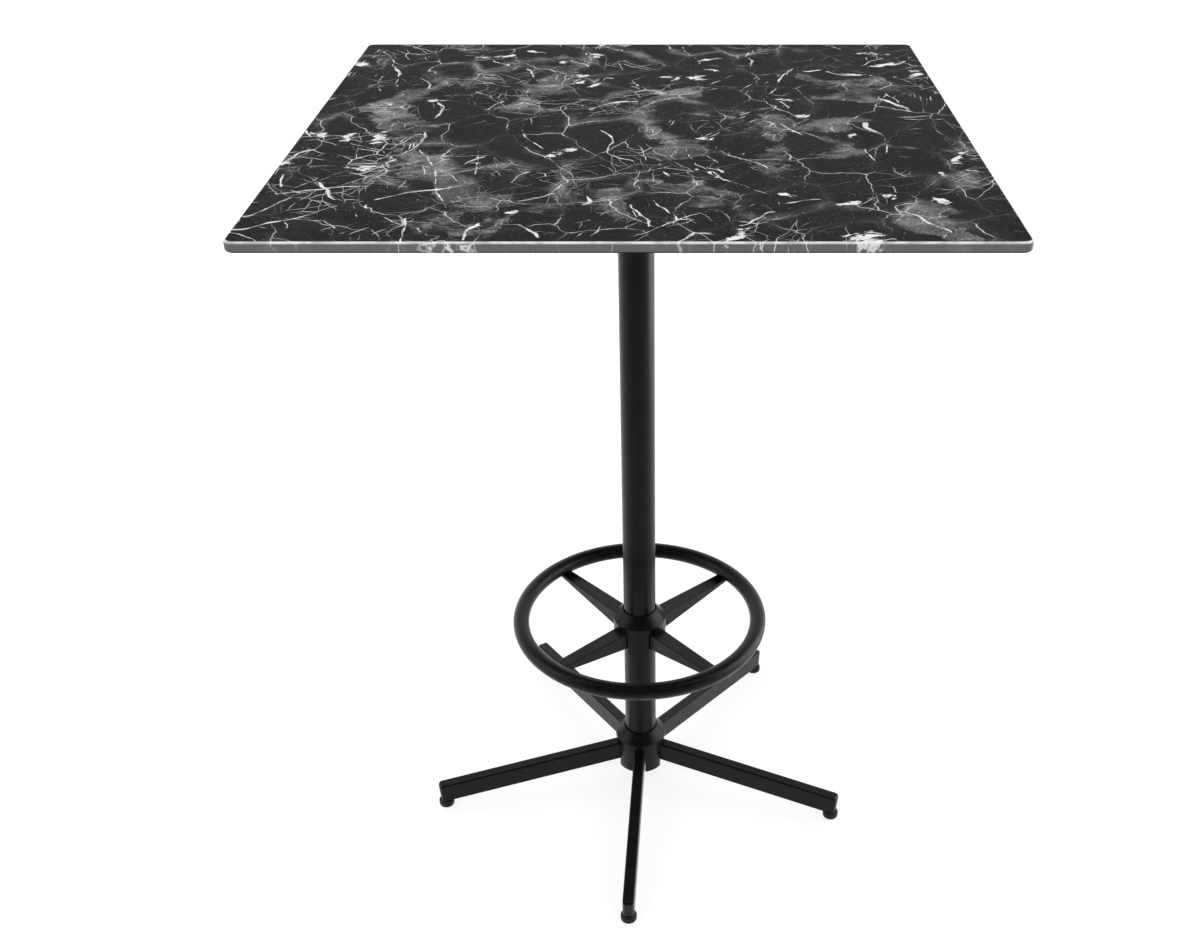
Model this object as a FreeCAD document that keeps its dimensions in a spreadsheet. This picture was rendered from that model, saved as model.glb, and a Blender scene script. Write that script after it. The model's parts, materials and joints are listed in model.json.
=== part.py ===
import FreeCAD, Part
import Sketcher
import os
import re

# Pub table: a square laminate top on a five-legged pedestal with a foot ring.
# Millimetres. +Z is up, and the origin is on the floor under the middle of the column.

SIZES = {
    # Top
    "table_height": 1066.8,
    "top_side": 812.8,
    "top_thickness": 12.7,
    "top_corner_radius": 12,
    "top_edge_radius": 3.5,
    # Mounting plate and its screws
    "plate_side": 254,
    "plate_thickness": 5,
    "plate_corner_radius": 16,
    "plate_edge_radius": 1,
    "screw_spacing": 216,
    "screw_diameter": 6,
    "screw_head_diameter": 11,
    "screw_head_height": 3.5,
    "screw_reach": 8.5,
    "screw_socket_width": 4,
    "screw_socket_depth": 2,
    "screw_hole_clearance": 0.3,
    "insert_wall": 1.5,
    "insert_length": 9.2,
    "insert_end_gap": 0.5,
    "socket_wall": 4,
    "socket_height": 30,
    # Column and tie rod
    "column_diameter": 48.3,
    "column_wall": 2.5,
    "column_fit": 0.05,
    "column_cover_gap": 0.3,
    "rod_diameter": 10,
    "rod_hole_clearance": 0.3,
    "rod_overrun": 2,
    "thread_clearance": 0.06,
    "nut_width": 17,
    "nut_height": 8,
    "washer_diameter": 34,
    "washer_thickness": 2,
    # Foot ring
    "ring_height": 306,
    "ring_radius": 180,
    "ring_tube_diameter": 24,
    "ring_tube_wall": 2,
    "spoke_count": 4,
    "saddle_depth": 1.5,
    "spoke_hub_width": 26,
    "spoke_tip_width": 18,
    "spoke_hub_depth": 28,
    "spoke_tip_depth": 4.5,
    "spoke_overlap": 2,
    "spoke_edge_radius": 1.5,
    "spoke_slot_gap": 1.5,
    "collar_wall": 7,
    "collar_top_gap": 0.5,
    "shroud_gap": 4,
    "shroud_wall": 4.5,
    "shroud_cone_height": 16,
    "shroud_lip": 1.6,
    "shroud_tongue_drop": 8.5,
    "set_screw_diameter": 8,
    "set_screw_length": 8,
    "set_screw_tip_gap": 0.1,
    "set_screw_socket_width": 4,
    "set_screw_socket_depth": 4,
    "set_screw_drop": 13,
    "set_screw_spacing": 13,
    "set_screw_access_gap": 1,
    # Base
    "leg_count": 5,
    "base_turn": -2.5,
    "foot_circle_radius": 318,
    "leg_width": 17,
    "leg_height": 30.5,
    "leg_slope": 4.4,
    "leg_overhang": 10.5,
    "leg_corner_radius": 5.5,
    "leg_edge_radius": 2.5,
    "leg_slot_gap": 0.5,
    "slot_corner_radius": 2.5,
    "weld_gap": 0.1,
    "seat_gap": 0.05,
    "core_wall": 4,
    "core_floor": 6,
    "sleeve_gap": 5,
    "sleeve_wall": 4.5,
    "sleeve_rise": 8.5,
    "sleeve_drop": 12.5,
    "cap_overhang": 2,
    "cap_rim": 4,
    "cap_cone_height": 14,
    "cap_lip": 1.7,
    "cap_edge_radius": 3,
    # Levelling glides
    "pad_diameter": 23.5,
    "pad_height": 12,
    "pad_foot_radius": 4.5,
    "pad_shoulder_radius": 3,
    "pad_sole": 4,
    "pad_key_hole_diameter": 7,
    "glide_gap": 1,
    "glide_clearance": 0.2,
    "glide_end_play": 0.1,
    "stud_diameter": 8,
    "stud_length": 31,
    "stud_chamfer": 1,
    "stud_flange_diameter": 12,
    "stud_flange_height": 3,
    "stud_socket_width": 5,
    "stud_socket_depth": 4,
    "stud_hole_depth": 24,
}

FULL_TURN = 360
FRONT = -90
REAR = 90
SIDES_OF_TOP = "4"
TOLERANCE = 1e-6
FIRST_GUESS = 100

doc = FreeCAD.newDocument("pub_table")
sheet = doc.addObject("Spreadsheet::Sheet", "sizes")
for row, (alias, number) in enumerate(SIZES.items(), 1):
    sheet.set(f"A{row}", alias)
    sheet.set(f"B{row}", str(number))
    sheet.setAlias(f"B{row}", alias)
doc.recompute()

# Places that several pieces share, as formulas of the sheet's sizes

TOP_UNDERSIDE = "(table_height - top_thickness)"
PLATE_UNDERSIDE = f"({TOP_UNDERSIDE} - plate_thickness)"

COLUMN_RADIUS = "(column_diameter / 2)"
COLUMN_BORE = f"({COLUMN_RADIUS} + column_fit)"
COVER_BORE = f"({COLUMN_RADIUS} + column_cover_gap)"

CORE_RADIUS = f"({COLUMN_BORE} + core_wall)"
SLEEVE_INNER = f"({CORE_RADIUS} + sleeve_gap)"
SLEEVE_RADIUS = f"({SLEEVE_INNER} + sleeve_wall)"
CAP_RADIUS = f"({SLEEVE_RADIUS} + cap_overhang)"
CAP_TOP_RADIUS = f"({COLUMN_RADIUS} + cap_lip)"
LEG_UPRIGHT = "(leg_height / cos(leg_slope))"


def leg_top(radius):
    """Height of a leg's top face at a distance from the column's axis."""
    rise = f"(foot_circle_radius - {radius}) * tan(leg_slope)"
    return f"(pad_height + glide_gap + {LEG_UPRIGHT} + {rise})"


CORE_BOTTOM = f"({leg_top(CORE_RADIUS)} - {LEG_UPRIGHT})"
COLUMN_FOOT = f"({CORE_BOTTOM} + core_floor)"
SLOT_CEILING = f"({leg_top(SLEEVE_INNER)} + seat_gap)"
SLEEVE_TOP = f"({leg_top(SLEEVE_RADIUS)} + sleeve_rise)"
SLEEVE_BOTTOM = f"({leg_top(SLEEVE_RADIUS)} - {LEG_UPRIGHT} - sleeve_drop)"

SPOKE_TOP = "(ring_height - ring_tube_diameter / 2 + saddle_depth)"
SPOKE_BOTTOM = f"({SPOKE_TOP} - spoke_hub_depth)"
COLLAR_RADIUS = f"({COLUMN_BORE} + collar_wall)"
SHROUD_INNER = f"({COLLAR_RADIUS} + shroud_gap)"
SHROUD_RADIUS = f"({SHROUD_INNER} + shroud_wall)"
SHROUD_BOTTOM = f"({SPOKE_BOTTOM} - shroud_tongue_drop)"
SHROUD_TOP = "(ring_height + shroud_cone_height)"
SHROUD_TOP_RADIUS = f"({COLUMN_RADIUS} + shroud_lip)"
UPPER_SET_SCREW = "(ring_height - set_screw_drop)"
SET_SCREW_HEIGHTS = [UPPER_SET_SCREW, f"({UPPER_SET_SCREW} - set_screw_spacing)"]

STUD_RADIUS = "(stud_diameter / 2)"
STUD_BOTTOM = "(pad_sole + glide_end_play)"


def bind(target, path, formula):
    """Tie a property to a formula whose words are sizes of the sheet."""
    def cell(word):
        return f"sizes.{word[0]}" if word[0] in SIZES else word[0]

    target.setExpression(path, re.sub(r"[a-z_]+", cell, formula))


def new_body(label):
    body = doc.addObject("PartDesign::Body", label)
    body.Label = label
    return body


def origin_feature(body, role):
    return next(feature for feature in body.Origin.OriginFeatures if feature.Role == role)


def new_sketch(body, name, plane, lift=None, turn=None):
    """A sketch on one of the body's own planes, lifted along its normal or turned about its upright."""
    sketch = body.newObject("Sketcher::SketchObject", name)
    sketch.AttachmentSupport = (origin_feature(body, plane), [""])
    sketch.MapMode = "FlatFace"
    if lift:
        bind(sketch, "AttachmentOffset.Base.z", lift)
    if turn:
        upright = FreeCAD.Rotation(FreeCAD.Vector(0, 1, 0), FIRST_GUESS)
        sketch.AttachmentOffset = FreeCAD.Placement(FreeCAD.Vector(), upright)
        bind(sketch, "AttachmentOffset.Rotation.Angle", turn)
    return sketch


def place_point(sketch, geometry, vertex, point, start):
    """Hold a sketch point at a pair of formulas, measured from the sketch's origin."""
    axes = [("DistanceX", point[0], start.x, -2), ("DistanceY", point[1], start.y, -1)]
    for kind, formula, guess, axis in axes:
        if formula == "0":
            sketch.addConstraint(Sketcher.Constraint("PointOnObject", geometry, vertex, axis))
            continue
        index = sketch.addConstraint(Sketcher.Constraint(kind, -1, 1, geometry, vertex, guess))
        bind(sketch, f"Constraints[{index}]", formula)


def draw_outline(sketch, points):
    """A closed outline of straight lines through pairs of formulas."""
    first = sketch.GeometryCount
    spread = FreeCAD.Vector(FIRST_GUESS, 0, 0)
    starts = []
    for number in range(len(points)):
        turned = FreeCAD.Rotation(FreeCAD.Vector(0, 0, 1), FULL_TURN * number / len(points))
        starts.append(turned.multVec(spread))
    for number, start in enumerate(starts):
        sketch.addGeometry(Part.LineSegment(start, starts[(number + 1) % len(starts)]), False)
    for number in range(len(points)):
        following = first + (number + 1) % len(points)
        sketch.addConstraint(Sketcher.Constraint("Coincident", first + number, 2, following, 1))
    for number, point in enumerate(points):
        place_point(sketch, first + number, 1, point, starts[number])


def draw_circle(sketch, centre, diameter):
    start = Part.Circle(FreeCAD.Vector(), FreeCAD.Vector(0, 0, 1), FIRST_GUESS / 2)
    circle = sketch.addGeometry(start, False)
    place_point(sketch, circle, 3, centre, FreeCAD.Vector())
    index = sketch.addConstraint(Sketcher.Constraint("Diameter", circle, FIRST_GUESS))
    bind(sketch, f"Constraints[{index}]", diameter)


def draw_square(sketch, side):
    near, far = f"-{side} / 2", f"{side} / 2"
    draw_outline(sketch, [(near, near), (far, near), (far, far), (near, far)])


def draw_hexagon(sketch, width, centre_height="0"):
    """A hexagon of a width across its flats, with its centre on the sketch's upright axis."""
    flat = f"{width} / 2"
    corner = f"{width} / sqrt(3)"
    places = [("0", corner), (flat, f"{corner} / 2"), (flat, f"-{corner} / 2")]
    places += [("0", f"-{corner}"), (f"-{flat}", f"-{corner} / 2"), (f"-{flat}", f"{corner} / 2")]
    draw_outline(sketch, [(across, f"{centre_height} + {up}") for across, up in places])


def add_feature(body, kind, sketch, length=None, upwards=False, both_ways=False):
    """A pad or pocket from a sketch. With no length it runs through everything."""
    feature = body.newObject(f"PartDesign::{kind}", f"{sketch.Name}_{kind}")
    feature.Profile = sketch
    feature.Reversed = upwards
    if length:
        bind(feature, "Length", length)
    else:
        feature.Type = "ThroughAll"
    if both_ways:
        feature.SideType = "Symmetric"
    return feature


def add_turned(body, sketch):
    """A revolution about the sketch's upright axis."""
    feature = body.newObject("PartDesign::Revolution", f"{sketch.Name}_revolution")
    feature.Profile = sketch
    feature.ReferenceAxis = (sketch, ["V_Axis"])
    feature.Angle = FULL_TURN


def add_polar(body, originals, count):
    """Copies of features all round the body's upright axis."""
    pattern = body.newObject("PartDesign::PolarPattern", f"{body.Name}_pattern")
    pattern.Originals = originals
    pattern.Axis = (origin_feature(body, "Z_Axis"), [""])
    pattern.Angle = FULL_TURN
    bind(pattern, "Occurrences", count)
    body.Tip = pattern


def add_rounding(body, radius, wanted):
    """Round the edges of the body's last shape that a test picks out."""
    doc.recompute()
    base = body.Tip
    edges = [f"Edge{number}" for number, edge in enumerate(base.Shape.Edges, 1) if wanted(edge)]
    rounding = body.newObject("PartDesign::Fillet", f"{body.Name}_{radius}")
    rounding.Base = (base, edges)
    bind(rounding, "Radius", radius)


def is_upright(edge):
    return edge.BoundBox.DiagonalLength - edge.BoundBox.ZLength < TOLERANCE


def is_level(edge):
    return edge.BoundBox.ZLength < TOLERANCE


def turn_body(body, angle):
    """Turn a body about the column's axis."""
    upright = FreeCAD.Rotation(FreeCAD.Vector(0, 0, 1), FIRST_GUESS)
    body.Placement = FreeCAD.Placement(FreeCAD.Vector(), upright)
    bind(body, "Placement.Rotation.Angle", angle)


def make_ring(label, outer_radius, inner_radius, bottom, height):
    """A plain ring or tube round the column's axis."""
    body = new_body(label)
    sketch = new_sketch(body, f"{label}_section", "XY_Plane", bottom)
    draw_circle(sketch, ("0", "0"), f"2 * {outer_radius}")
    draw_circle(sketch, ("0", "0"), f"2 * {inner_radius}")
    add_feature(body, "Pad", sketch, height)
    return body


def make_turned(label, profile):
    """A piece turned about its own upright axis from an outline of radius and height."""
    body = new_body(label)
    sketch = new_sketch(body, f"{label}_profile", "XZ_Plane")
    draw_outline(sketch, profile)
    add_turned(body, sketch)
    return body


def screw_places():
    """A corner and the middle of a side of the screws' square, which repeat on all four sides."""
    return [("screw_spacing / 2", "screw_spacing / 2"), ("screw_spacing / 2", "0")]


def cut_screw_holes(body, name, diameter, bottom, depth):
    """Holes in the pattern of the mounting screws, cut upwards from a height."""
    sketch = new_sketch(body, name, "XY_Plane", bottom)
    for place in screw_places():
        draw_circle(sketch, place, diameter)
    holes = add_feature(body, "Pocket", sketch, depth, upwards=True)
    add_polar(body, [holes], SIDES_OF_TOP)


def make_top():
    body = new_body("table_top")
    sketch = new_sketch(body, "top_outline", "XY_Plane", TOP_UNDERSIDE)
    draw_square(sketch, "top_side")
    add_feature(body, "Pad", sketch, "top_thickness")
    add_rounding(body, "top_corner_radius", is_upright)
    add_rounding(body, "top_edge_radius", is_level)
    insert_hole = "screw_diameter + 2 * thread_clearance + 2 * insert_wall + 2 * seat_gap"
    cut_screw_holes(body, "insert_holes", insert_hole, TOP_UNDERSIDE, "insert_length + insert_end_gap")


def make_mounting_plate():
    body = new_body("mounting_plate")
    sketch = new_sketch(body, "plate_outline", "XY_Plane", PLATE_UNDERSIDE)
    draw_square(sketch, "plate_side")
    add_feature(body, "Pad", sketch, "plate_thickness")
    add_rounding(body, "plate_corner_radius", is_upright)
    lowest = body.Shape.BoundBox.ZMin
    add_rounding(body, "plate_edge_radius", lambda edge: edge.BoundBox.ZMax < lowest + TOLERANCE)
    hole = "screw_diameter + 2 * screw_hole_clearance"
    cut_screw_holes(body, "screw_holes", hole, PLATE_UNDERSIDE, "plate_thickness")


def make_inserts():
    body = new_body("top_inserts")
    sketch = new_sketch(body, "insert_section", "XY_Plane", TOP_UNDERSIDE)
    bore = "screw_diameter + 2 * thread_clearance"
    for place in screw_places():
        draw_circle(sketch, place, f"{bore} + 2 * insert_wall")
        draw_circle(sketch, place, bore)
    add_polar(body, [add_feature(body, "Pad", sketch, "insert_length")], SIDES_OF_TOP)


def make_plate_screws():
    body = new_body("plate_screws")
    heads = new_sketch(body, "screw_heads", "XY_Plane", PLATE_UNDERSIDE)
    shanks = new_sketch(body, "screw_shanks", "XY_Plane", PLATE_UNDERSIDE)
    sockets = new_sketch(body, "screw_sockets", "XY_Plane", f"{PLATE_UNDERSIDE} - screw_head_height")
    for place in screw_places():
        draw_circle(heads, place, "screw_head_diameter")
        draw_circle(shanks, place, "screw_diameter")
        draw_circle(sockets, place, "screw_socket_width")
    head_pad = add_feature(body, "Pad", heads, "screw_head_height", upwards=True)
    shank_pad = add_feature(body, "Pad", shanks, "plate_thickness + screw_reach")
    socket_pocket = add_feature(body, "Pocket", sockets, "screw_socket_depth", upwards=True)
    add_polar(body, [head_pad, shank_pad, socket_pocket], SIDES_OF_TOP)


def make_nut(label, bottom):
    body = new_body(label)
    sketch = new_sketch(body, f"{label}_section", "XY_Plane", bottom)
    draw_hexagon(sketch, "nut_width")
    draw_circle(sketch, ("0", "0"), "rod_diameter + 2 * thread_clearance")
    add_feature(body, "Pad", sketch, "nut_height")


def make_tie_rod():
    body = new_body("tie_rod")
    rod_bottom = f"({CORE_BOTTOM} - washer_thickness - nut_height - rod_overrun)"
    sketch = new_sketch(body, "rod_section", "XY_Plane", rod_bottom)
    draw_circle(sketch, ("0", "0"), "rod_diameter")
    add_feature(body, "Pad", sketch, f"{PLATE_UNDERSIDE} - seat_gap - {rod_bottom}")


def make_base_core():
    """The tube that the legs are welded to, with the floor that the column stands on."""
    rod_hole = "(rod_diameter / 2 + rod_hole_clearance)"
    make_turned("base_core", [
        (rod_hole, CORE_BOTTOM),
        (CORE_RADIUS, CORE_BOTTOM),
        (CORE_RADIUS, SLEEVE_TOP),
        (COLUMN_BORE, SLEEVE_TOP),
        (COLUMN_BORE, COLUMN_FOOT),
        (rod_hole, COLUMN_FOOT),
    ])


def cut_slots(body, name, width, bottom, ceiling, count, turn=None):
    """Slots open at the bottom of a sleeve, one for each arm that comes out of it."""
    sketch = new_sketch(body, name, "YZ_Plane", turn=turn)
    near, far = f"-({width}) / 2", f"({width}) / 2"
    draw_outline(sketch, [(near, bottom), (far, bottom), (far, ceiling), (near, ceiling)])
    slot = add_feature(body, "Pocket", sketch, upwards=True)
    add_polar(body, [slot], count)


def make_base_sleeve():
    height = f"{SLEEVE_TOP} - {SLEEVE_BOTTOM}"
    body = make_ring("base_sleeve", SLEEVE_RADIUS, SLEEVE_INNER, SLEEVE_BOTTOM, height)
    slot_width = "leg_width + 2 * leg_slot_gap"
    cut_slots(body, "leg_slots", slot_width, SLEEVE_BOTTOM, SLOT_CEILING, "leg_count")
    doc.recompute()
    lowest = body.Shape.BoundBox.ZMin

    def at_slot_corner(edge):
        is_straight = isinstance(edge.Curve, Part.Line)
        return is_straight and is_level(edge) and edge.BoundBox.ZMin > lowest + TOLERANCE

    add_rounding(body, "slot_corner_radius", at_slot_corner)
    turn_body(body, f"base_turn + {FRONT}")


def make_base_cap():
    rim_top = f"({SLEEVE_TOP} + cap_rim)"
    cap_top = f"({rim_top} + cap_cone_height)"
    body = make_turned("base_cap", [
        (COVER_BORE, SLEEVE_TOP),
        (CAP_RADIUS, SLEEVE_TOP),
        (CAP_RADIUS, rim_top),
        (CAP_TOP_RADIUS, cap_top),
        (COVER_BORE, f"{cap_top} - ({CAP_TOP_RADIUS} - {COVER_BORE})"),
    ])
    doc.recompute()
    widest = body.Shape.BoundBox.XMax
    lowest = body.Shape.BoundBox.ZMin

    def at_shoulder(edge):
        at_widest = edge.BoundBox.XMax > widest - TOLERANCE
        return at_widest and is_level(edge) and edge.BoundBox.ZMin > lowest + TOLERANCE

    add_rounding(body, "cap_edge_radius", at_shoulder)


def make_leg(number):
    """A straight bar that slopes down from the core and carries a glide near its end."""
    label = f"leg_{number}"
    body = new_body(label)
    inner = COLUMN_RADIUS
    outer = "(foot_circle_radius + leg_overhang)"
    profile = new_sketch(body, f"{label}_side", "XZ_Plane")
    draw_outline(profile, [
        (inner, f"{leg_top(inner)} - {LEG_UPRIGHT}"),
        (f"{outer} - leg_height * sin(leg_slope)", f"{leg_top(outer)} - leg_height * cos(leg_slope)"),
        (outer, leg_top(outer)),
        (inner, leg_top(inner)),
    ])
    add_feature(body, "Pad", profile, "leg_width", both_ways=True)
    doc.recompute()
    reach = body.Shape.BoundBox.XMax

    def at_end_corner(edge):
        return edge.BoundBox.XMax > reach - TOLERANCE and edge.BoundBox.ZLength > edge.BoundBox.XLength

    add_rounding(body, "leg_corner_radius", at_end_corner)
    doc.recompute()
    top_face = max(body.Tip.Shape.Faces, key=lambda face: face.normalAt(0, 0).z)
    rim = [edge for edge in top_face.Edges if edge.BoundBox.XMax > reach / 2]
    add_rounding(body, "leg_edge_radius", lambda edge: any(edge.isSame(other) for other in rim))
    cope = new_sketch(body, f"{label}_cope", "XY_Plane")
    draw_circle(cope, ("0", "0"), f"2 * ({CORE_RADIUS} + weld_gap)")
    add_feature(body, "Pocket", cope, upwards=True)
    hole = new_sketch(body, f"{label}_hole", "XY_Plane")
    draw_circle(hole, ("foot_circle_radius", "0"), "stud_diameter + 2 * thread_clearance")
    add_feature(body, "Pocket", hole, "pad_height + glide_gap + stud_hole_depth", upwards=True)
    turn_body(body, leg_angle(number))


def leg_angle(number):
    return f"base_turn + {FRONT} + {number - 1} * {FULL_TURN} / leg_count"


def stand_at_foot(body, number):
    """Put a piece of a glide under the end of its leg."""
    bind(body, "Placement.Base.x", f"foot_circle_radius * cos({leg_angle(number)})")
    bind(body, "Placement.Base.y", f"foot_circle_radius * sin({leg_angle(number)})")


def make_glide_pad(number):
    """A round plastic foot that holds the flange of its stud and lets it turn."""
    shaft_bore = f"({STUD_RADIUS} + glide_clearance)"
    flange_bore = "(stud_flange_diameter / 2 + glide_clearance)"
    pocket_top = f"({STUD_BOTTOM} + stud_flange_height + glide_end_play)"
    body = make_turned(f"glide_pad_{number}", [
        ("pad_key_hole_diameter / 2", "0"),
        ("pad_diameter / 2", "0"),
        ("pad_diameter / 2", "pad_height"),
        (shaft_bore, "pad_height"),
        (shaft_bore, pocket_top),
        (flange_bore, pocket_top),
        (flange_bore, "pad_sole"),
        ("pad_key_hole_diameter / 2", "pad_sole"),
    ])
    doc.recompute()
    outside = body.Shape.BoundBox.XMax
    middle = body.Shape.BoundBox.ZMax / 2

    def on_rim(edge):
        return is_level(edge) and edge.BoundBox.XMax > outside - TOLERANCE

    add_rounding(body, "pad_foot_radius", lambda edge: on_rim(edge) and edge.BoundBox.ZMax < middle)
    add_rounding(body, "pad_shoulder_radius", lambda edge: on_rim(edge) and edge.BoundBox.ZMin > middle)
    stand_at_foot(body, number)


def make_glide_stud(number):
    """A screw with a flange that turns in its pad and a hexagon socket reached from below."""
    label = f"glide_stud_{number}"
    flange_top = f"({STUD_BOTTOM} + stud_flange_height)"
    tip = f"({STUD_BOTTOM} + stud_length)"
    body = make_turned(label, [
        ("0", STUD_BOTTOM),
        ("stud_flange_diameter / 2", STUD_BOTTOM),
        ("stud_flange_diameter / 2", flange_top),
        (STUD_RADIUS, flange_top),
        (STUD_RADIUS, f"{tip} - stud_chamfer"),
        (f"{STUD_RADIUS} - stud_chamfer", tip),
        ("0", tip),
    ])
    socket = new_sketch(body, f"{label}_socket", "XY_Plane", STUD_BOTTOM)
    draw_hexagon(socket, "stud_socket_width")
    add_feature(body, "Pocket", socket, "stud_socket_depth", upwards=True)
    stand_at_foot(body, number)


def make_foot_ring():
    body = new_body("foot_ring")
    sketch = new_sketch(body, "ring_section", "XZ_Plane")
    centre = ("ring_radius", "ring_height")
    draw_circle(sketch, centre, "ring_tube_diameter")
    draw_circle(sketch, centre, "ring_tube_diameter - 2 * ring_tube_wall")
    add_turned(body, sketch)


def make_spoke(number):
    """A tapered arm from the collar to a saddle under the ring."""
    label = f"ring_spoke_{number}"
    body = new_body(label)
    inner, outer = COLUMN_RADIUS, "(ring_radius + spoke_overlap)"
    plan = new_sketch(body, f"{label}_plan", "XY_Plane", SPOKE_BOTTOM)
    draw_outline(plan, [
        (inner, "-spoke_hub_width / 2"),
        (outer, "-spoke_tip_width / 2"),
        (outer, "spoke_tip_width / 2"),
        (inner, "spoke_hub_width / 2"),
    ])
    add_feature(body, "Pad", plan, "spoke_hub_depth")
    taper = new_sketch(body, f"{label}_taper", "XZ_Plane")
    tip_bottom = f"{SPOKE_TOP} - spoke_tip_depth"
    draw_outline(taper, [(inner, SPOKE_BOTTOM), (outer, SPOKE_BOTTOM), (outer, tip_bottom)])
    add_feature(body, "Pocket", taper, both_ways=True)
    doc.recompute()
    top = body.Shape.BoundBox.ZMax
    half_length = body.Shape.BoundBox.XLength / 2

    def on_top_side(edge):
        return edge.BoundBox.ZMin > top - TOLERANCE and edge.BoundBox.XLength > half_length

    add_rounding(body, "spoke_edge_radius", on_top_side)
    cope = new_sketch(body, f"{label}_cope", "XY_Plane")
    draw_circle(cope, ("0", "0"), f"2 * ({COLLAR_RADIUS} + weld_gap)")
    add_feature(body, "Pocket", cope, upwards=True)
    saddle = body.newObject("PartDesign::SubtractiveTorus", f"{label}_saddle")
    bind(saddle, "Radius1", "ring_radius")
    bind(saddle, "Radius2", "ring_tube_diameter / 2 + weld_gap")
    bind(saddle, "Placement.Base.z", "ring_height")
    turn_body(body, f"base_turn + ({number} - 1 / 2) * {FULL_TURN} / spoke_count")


def cut_set_screw_holes(body, name, diameter):
    """Two holes, one above the other, through the rear of a piece round the column."""
    sketch = new_sketch(body, name, "YZ_Plane")
    for height in SET_SCREW_HEIGHTS:
        draw_circle(sketch, ("0", height), diameter)
    add_feature(body, "Pocket", sketch, upwards=True)


def make_ring_collar():
    """The inner tube that the spokes are welded to and the set screws clamp to the column."""
    height = f"ring_height - collar_top_gap - {SPOKE_BOTTOM}"
    body = make_ring("ring_collar", COLLAR_RADIUS, COLUMN_BORE, SPOKE_BOTTOM, height)
    cut_set_screw_holes(body, "collar_screw_holes", "set_screw_diameter + 2 * thread_clearance")
    turn_body(body, f"base_turn + {REAR}")


def make_ring_shroud():
    """The cone-topped cover of the spokes' inner ends."""
    body = make_turned("ring_shroud", [
        (SHROUD_INNER, SHROUD_BOTTOM),
        (SHROUD_RADIUS, SHROUD_BOTTOM),
        (SHROUD_RADIUS, "ring_height"),
        (SHROUD_TOP_RADIUS, SHROUD_TOP),
        (COVER_BORE, f"{SHROUD_TOP} - ({SHROUD_TOP_RADIUS} - {COVER_BORE})"),
        (COVER_BORE, "ring_height"),
        (SHROUD_INNER, "ring_height"),
    ])
    slot_width = "spoke_hub_width + 2 * spoke_slot_gap"
    ceiling = f"{SPOKE_TOP} + seat_gap"
    half_step = f"{FULL_TURN} / spoke_count / 2"
    cut_slots(body, "spoke_slots", slot_width, SHROUD_BOTTOM, ceiling, "spoke_count", half_step)
    cut_set_screw_holes(body, "shroud_screw_holes", "set_screw_diameter + 2 * set_screw_access_gap")
    turn_body(body, f"base_turn + {REAR}")


def make_set_screws():
    body = new_body("ring_set_screws")
    tip = f"({COLUMN_RADIUS} + set_screw_tip_gap)"
    shanks = new_sketch(body, "set_screw_shanks", "YZ_Plane", tip)
    for height in SET_SCREW_HEIGHTS:
        draw_circle(shanks, ("0", height), "set_screw_diameter")
    add_feature(body, "Pad", shanks, "set_screw_length")
    sockets = new_sketch(body, "set_screw_sockets", "YZ_Plane", f"{tip} + set_screw_length")
    for height in SET_SCREW_HEIGHTS:
        draw_hexagon(sockets, "set_screw_socket_width", height)
    add_feature(body, "Pocket", sockets, "set_screw_socket_depth")
    turn_body(body, f"base_turn + {REAR}")


def make_table():
    make_top()
    make_mounting_plate()
    make_inserts()
    make_plate_screws()
    socket_radius = f"({COLUMN_BORE} + socket_wall)"
    socket_bottom = f"{PLATE_UNDERSIDE} - socket_height"
    make_ring("plate_socket", socket_radius, COLUMN_BORE, socket_bottom, "socket_height")
    column_inner = f"({COLUMN_RADIUS} - column_wall)"
    make_ring("column", COLUMN_RADIUS, column_inner, COLUMN_FOOT, f"{PLATE_UNDERSIDE} - {COLUMN_FOOT}")
    make_tie_rod()
    make_nut("tie_rod_top_nut", f"{PLATE_UNDERSIDE} - nut_height")
    make_nut("tie_rod_bottom_nut", f"{CORE_BOTTOM} - washer_thickness - nut_height")
    washer_hole = "(rod_diameter / 2 + rod_hole_clearance)"
    washer_bottom = f"{CORE_BOTTOM} - washer_thickness"
    make_ring("tie_rod_washer", "(washer_diameter / 2)", washer_hole, washer_bottom, "washer_thickness")
    make_foot_ring()
    make_ring_collar()
    make_ring_shroud()
    make_set_screws()
    for number in range(1, int(sheet.spoke_count) + 1):
        make_spoke(number)
    make_base_core()
    make_base_sleeve()
    make_base_cap()
    for number in range(1, int(sheet.leg_count) + 1):
        make_leg(number)
        make_glide_pad(number)
        make_glide_stud(number)


def check_document():
    """Stop if any object of the document failed or any piece is empty or broken."""
    for item in doc.Objects:
        if "Invalid" in item.State or "Error" in item.State:
            raise RuntimeError(f"{item.Name} failed: {item.State}")
    for body in bodies():
        if body.Shape.isNull() or not body.Shape.isValid() or body.Shape.Volume <= 0:
            raise RuntimeError(f"{body.Label} has no valid solid")


def bodies():
    return [item for item in doc.Objects if item.TypeId == "PartDesign::Body"]


make_table()
doc.recompute()
check_document()
os.makedirs("parts", exist_ok=True)
for piece in bodies():
    piece.Shape.exportStep(f"parts/{piece.Label}.step")
    print(piece.Label, len(piece.Shape.Solids), round(piece.Shape.Volume))
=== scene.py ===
import json
import math

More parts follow.
